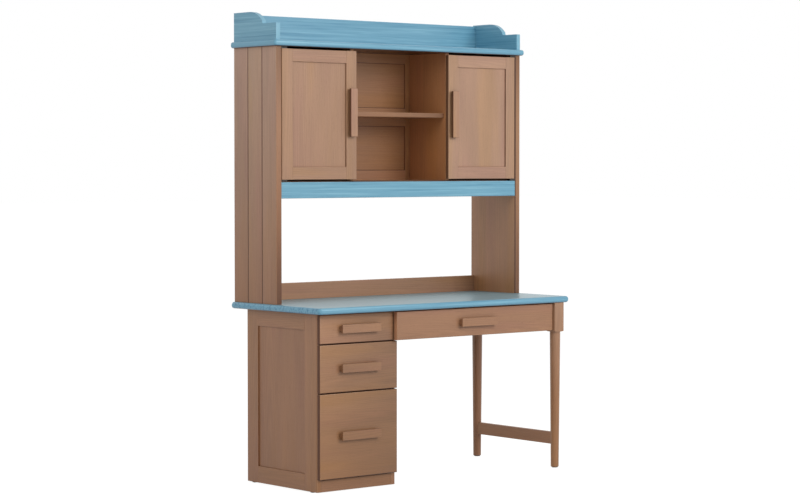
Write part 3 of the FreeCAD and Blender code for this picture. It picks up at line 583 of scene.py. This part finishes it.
# Painted light: the sides grow paler towards the top.
SIDE_FADES = {"left": (0.76, 1.9), "right": (0.0, 1.9)}
SIDE_CREST = colour(177, 144, 117)
# Painted shade on the planks' edges, with painted light at middle height.
SIDE_EDGES = {"left": ((0.46, 0.33, 0.175), (0.87, 0.73, 0.57)),
              "right": ((0.4, 0.32, 0.23), (0.7, 0.7, 0.73))}

for side in ("left", "right"):
    node = f"hutch_{side}_side"
    low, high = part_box(node)
    outer, inner = (low[0], high[0]) if side == "left" else (high[0], low[0])
    cuts = [low[1] + (high[1] - low[1]) / PLANKS * number for number in range(PLANKS + 1)]
    for number, (start, stop) in enumerate(zip(cuts, cuts[1:]), start=1):
        vees = [cut for cut in (start, stop) if cut in cuts[1:-1]]
        rounds = [(VEE, dict(X=outer, Y=vee)) for vee in vees]
        seams = [(FINE_SEAM, dict(Y=vee, X=outer)) for vee in vees]
        if number == 1:
            rounds += [(FRONT_ROUND, dict(X=low[0], Y=start)), (FRONT_ROUND, dict(X=high[0], Y=start))]
        # A painted shadow of the gap between the right door and the side's front edge.
        if number == 1 and side == "right":
            seams.append((WIDE_SEAM, dict(Y=start, X=inner)))
        board(f"hutch_{side}_plank_{number}", (low[0], start, low[2]), (high[0], stop, high[2]), "Z", node,
              rounds=rounds, flush=[dict(X=inner, Y=vee) for vee in vees], seams=seams, tint=SIDE_TINTS[side],
              fade=SIDE_FADES[side], crest=SIDE_CREST, facets=[("Y", *SIDE_EDGES[side])])
dress("hutch_tenons", bare, "Z")

# ---------------------------------------------------------------------------------------------------------
# Hutch inside
# Two dividers, the floor and the shelves are plain planed boards, stained like the sides; in the niche they
# are tinted warmer and darker, as painted bounce light and painted shade. The shelves in the cupboards lie on
# bare cleats.
# ---------------------------------------------------------------------------------------------------------
NICHE_WARMTH = (1.25, 1.04, 0.74)

for side in ("left", "right"):
    board(f"hutch_{side}_divider", *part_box(f"{side}_divider"), "Z", f"{side}_divider", tint=NICHE_WARMTH)
# Painted shade: the floor's front edge is darkened, in the shadow under the doors.
board("hutch_floor_board", *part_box("hutch_floor"), "X", "hutch_floor", tint=(0.9, 0.86, 0.8),
      dark=dict(Y=0.9))
low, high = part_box("niche_shelf")
# Painted shade: a darker front edge, and darker towards +X.
board("open_shelf", low, high, "X", "niche_shelf", tint=(0.93, 0.86, 0.78), dark=dict(Y=0.36), drift=1.0,
      rounds=[(SMALL_ROUND, dict(Y=low[1], Z=high[2])), (SMALL_ROUND, dict(Y=low[1], Z=low[2]))])
dress("compartment_shelves", stained, "X")
dress("shelf_cleats", bare, "Y")

# ---------------------------------------------------------------------------------------------------------
# Hutch back
# A frame of four stiles and nine rails in solid wood, glued round six sunk panels. It shows in the niche
# and from behind.
# ---------------------------------------------------------------------------------------------------------
END_STILE = 0.050
STILE_LAP = 0.024
BOTTOM_RAIL = 0.042
MIDDLE_RAIL_UNDER = 0.0345
MIDDLE_RAIL_OVER = 0.0245
TOP_RAIL = 0.041
# Painted shade: the back is tinted darker, deep in the niche.
BACK_TINT = (0.82, 0.7, 0.5)
RAIL_TINT = (0.92, 0.81, 0.64)

low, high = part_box("hutch_back_frame")
near, far = low[1], high[1]
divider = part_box("left_divider")
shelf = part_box("niche_shelf")
inner_stile = (divider[0][0] - STILE_LAP, divider[1][0] + STILE_LAP)
stiles = [(low[0], low[0] + END_STILE), inner_stile, (-inner_stile[1], -inner_stile[0]),
          (high[0] - END_STILE, high[0])]
rows = [(low[2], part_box("hutch_floor")[1][2] + BOTTOM_RAIL),
        (shelf[0][2] - MIDDLE_RAIL_UNDER, shelf[1][2] + MIDDLE_RAIL_OVER), (high[2] - TOP_RAIL, high[2])]
for number, (left, right) in enumerate(stiles, start=1):
    board(f"back_stile_{number}", (left, near, low[2]), (right, far, high[2]), "Z", "hutch_back_frame",
          tint=BACK_TINT)
for bay, (before, after) in enumerate(zip(stiles, stiles[1:]), start=1):
    left, right = before[1], after[0]
    for row, (bottom, top) in enumerate(rows, start=1):
        board(f"back_rail_{bay}_{row}", (left, near, bottom), (right, far, top), "X", "hutch_back_frame",
              tint=RAIL_TINT)
    for row, (under, over) in enumerate(zip(rows, rows[1:]), start=1):
        bottom, top = under[1], over[0]
        rims = (dict(X=left), dict(X=right), dict(Z=bottom), dict(Z=top))
        board(f"back_panel_{bay}_{row}", (left, near + PANEL_SINK, bottom), (right, far - PANEL_SINK, top),
              "X", "hutch_back_panels", tint=BACK_TINT, seams=[(FINE_SEAM, rim) for rim in rims])

# ---------------------------------------------------------------------------------------------------------
# Valance and low back rail
# A blue board under the cupboards and a stained one at the back of the desk top tie the hutch sides. Both
# are planed from solid wood, and two long edges of each are rounded over.
# ---------------------------------------------------------------------------------------------------------
low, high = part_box("valance")
board("blue_valance", low, high, "X", "valance", look=painted,
      rounds=[(SMALL_ROUND, dict(Y=low[1], Z=high[2])), (SMALL_ROUND, dict(Y=low[1], Z=low[2]))])
low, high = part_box("lower_back_rail")
# Painted shade: it darkens towards +X.
board("low_back_board", low, high, "X", "lower_back_rail", tint=(1.1, 1.1, 1.12), drift=0.34,
      rounds=[(SMALL_ROUND, dict(Y=low[1], Z=high[2])), (SMALL_ROUND, dict(Y=high[1], Z=high[2]))])

# ---------------------------------------------------------------------------------------------------------
# Crown and gallery
# A blue crown board with a round nose covers the hutch, and on it stands a gallery: a straight back rail
# between two sides sawn to a scroll.
# ---------------------------------------------------------------------------------------------------------
dress("crown_board", painted, "X")
for side in ("left", "right"):
    # The sides' sawn ends are paler, as a painted highlight.
    dress(f"gallery_{side}_side", painted, "Y", worn=0.35)
low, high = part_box("gallery_back_rail")
board("gallery_back_board", low, high, "X", "gallery_back_rail", look=painted,
      rounds=[(SMALL_ROUND, dict(Y=low[1], Z=high[2])), (SMALL_ROUND, dict(Y=high[1], Z=high[2]))])

# ---------------------------------------------------------------------------------------------------------
# Doors
# Each door is a frame of two stiles and two rails round a sunk panel, its outer edge rounded over, with an
# upright bar handle beside the niche.
# ---------------------------------------------------------------------------------------------------------
DOOR_STILE = 0.056
DOOR_RAIL = 0.053
DOOR_ROUND = dict(radius=0.003, segments=4)
# Painted shade on the stiles' side edges.
DOOR_EDGES = {"left": 0.3, "right": 0.7}
DOOR_TINTS = {"left": (0.88, 0.88, 0.86), "right": (0.96, 1.01, 1.07)}
# Painted light: the doors grow paler towards the top.
DOOR_FADE = (0.0, 1.35)

for side in ("left", "right"):
    node, body = f"{side}_door_frame", f"{side}_door"
    low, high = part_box(node)
    face, back = low[1], high[1]
    stain = dict(tint=DOOR_TINTS[side], fade=DOOR_FADE)
    for place, left, rim in (("left", low[0], low[0]), ("right", high[0] - DOOR_STILE, high[0])):
        # A painted shadow of the gap along the right door's outer edge.
        board(f"{side}_door_{place}_stile", (left, face, low[2]), (left + DOOR_STILE, back, high[2]), "Z",
              node, body, rounds=[(DOOR_ROUND, dict(X=rim, Y=face))], dark=dict(X=DOOR_EDGES[side]),
              seams=[(WIDE_SEAM, dict(X=rim))] if side == place == "right" else (), **stain)
    left, right = low[0] + DOOR_STILE, high[0] - DOOR_STILE
    for place, bottom, rim in (("bottom", low[2], low[2]), ("top", high[2] - DOOR_RAIL, high[2])):
        board(f"{side}_door_{place}_rail", (left, face, bottom), (right, back, bottom + DOOR_RAIL), "X",
              node, body, rounds=[(DOOR_ROUND, dict(Y=face, Z=rim))], **stain)
    board(f"{side}_door_sunk_panel", (left, face + PANEL_SINK, low[2] + DOOR_RAIL),
          (right, back - PANEL_SINK, high[2] - DOOR_RAIL), "Z", f"{side}_door_panel", body, **stain)
    # Painted shade on the handle's sides.
    dress(f"{side}_door_handle", stained, "Z", dark=dict(X=0.75))

# ---------------------------------------------------------------------------------------------------------
# Door pivots and floor glides
# The doors turn on blackened steel pins set in small blocks. Dark nylon pads lie under the feet.
# ---------------------------------------------------------------------------------------------------------
STEEL = colour(40, 36, 32)
STEEL_WORN = colour(86, 80, 73)
NYLON = colour(58, 52, 48)
NYLON_SCUFFED = colour(92, 86, 80)
SCUFFS_OVER = (0.45, 0.7)
SCUFF_ROUGHNESS = 0.15
SATIN_ROUGHNESS = 0.5


def scuffed(name, ends, grain, plain, worn, metal):
    """A plain satin material, scuffed in patches."""
    finish = Timber("finish_" + name, ends, grain)
    scuffs = finish.streaks(fine=240, long=90, detail=4, roughness=0.6).step(*SCUFFS_OVER)
    return finish.surface(Base_Color=finish.blend(scuffs, plain, worn), Metallic=metal,
                          Roughness=scuffs * SCUFF_ROUGHNESS + SATIN_ROUGHNESS)


dress("door_pivot_pins", scuffed, "Z", plain=STEEL, worn=STEEL_WORN, metal=0.3)
dress("floor_glides", scuffed, "Z", plain=NYLON, worn=NYLON_SCUFFED, metal=0.0)

# ---------------------------------------------------------------------------------------------------------
# Studio
# A pale floor that runs out of sight, a broad soft lamp in front and weaker ones at the left and behind. The
# camera stands off the desk's left front, at chest height, and looks a little down.
# ---------------------------------------------------------------------------------------------------------
FLOOR_REACH = 60.0
FLOOR_PLAIN = (0.72, 0.72, 0.72, 1.0)
FLOOR_FAINT = (0.3, 0.3, 0.3, 1.0)
FLOOR_GLOW = 0.87
WHITE = (1.0, 1.0, 1.0, 1.0)
AMBIENT = 0.5


def seen(finish, least):
    """1 for what the camera sees, also in a mirror or through glass, and least for all other light."""
    for ray in ("Is Camera Ray", "Is Glossy Ray", "Is Transmission Ray"):
        least = finish.node("LightPath", output=ray).larger(least)
    return least


floor_mesh = bmesh.new()
bmesh.ops.create_grid(floor_mesh, x_segments=1, y_segments=1, size=FLOOR_REACH)
floor_data = bpy.data.meshes.new("floor")
floor_mesh.to_mesh(floor_data)
floor_mesh.free()
floor = placed("floor", floor_data)

ground = Finish("floor")
plain = ground.node("BsdfDiffuse", (), {"Color": FLOOR_PLAIN})
faint = ground.node("BsdfDiffuse", (), {"Color": FLOOR_FAINT})
glow = ground.node("Emission", (), {"Color": WHITE, "Strength": FLOOR_GLOW})
lit = ground.node("AddShader", (), {0: faint, 1: glow})
mixed = ground.node("MixShader", (), {0: seen(ground, 0.0), 1: plain, 2: lit})
ground.node("OutputMaterial", (), {"Surface": mixed})
floor_data.materials.append(ground.owner)

world = bpy.data.worlds.new("studio")
bpy.context.scene.world = world
sky = Finish("studio", world)
backdrop = sky.node("Background", (), {"Color": WHITE, "Strength": seen(sky, AMBIENT)})
sky.node("OutputWorld", (), {"Surface": backdrop})

DESK_MIDDLE = Vector((0, 0, 1))


def lamp(name, spot, size, power):
    """A soft rectangular lamp that looks at the middle of the desk."""
    data = bpy.data.lights.new(name, "AREA")
    data.shape = "RECTANGLE"
    data.size, data.size_y = size
    data.energy = power
    made = placed(name, data)
    made.location = spot
    made.rotation_euler = (DESK_MIDDLE - Vector(spot)).to_track_quat("-Z", "Y").to_euler()


lamp("front_lamp", spot=(1.8, -6.2, 3.8), size=(4.0, 3.0), power=245)
lamp("left_lamp", spot=(-5.0, -1.8, 4.0), size=(3.0, 3.0), power=60)
lamp("back_lamp", spot=(-0.6, 6.4, 2.4), size=(3.0, 3.0), power=66)

CAMERA_SPOT = (-6.400, -7.614, 1.343)
CAMERA_DIP = 2.14
CAMERA_TURN = -39.96

lens = bpy.data.cameras.new("camera")
lens.lens = 103.45
lens.sensor_width = 36.0
camera = placed("camera", lens)
camera.location = CAMERA_SPOT
camera.rotation_euler = (math.radians(90 - CAMERA_DIP), 0.0, math.radians(CAMERA_TURN))
bpy.context.scene.camera = camera
bpy.context.scene.view_settings.view_transform = "Standard"
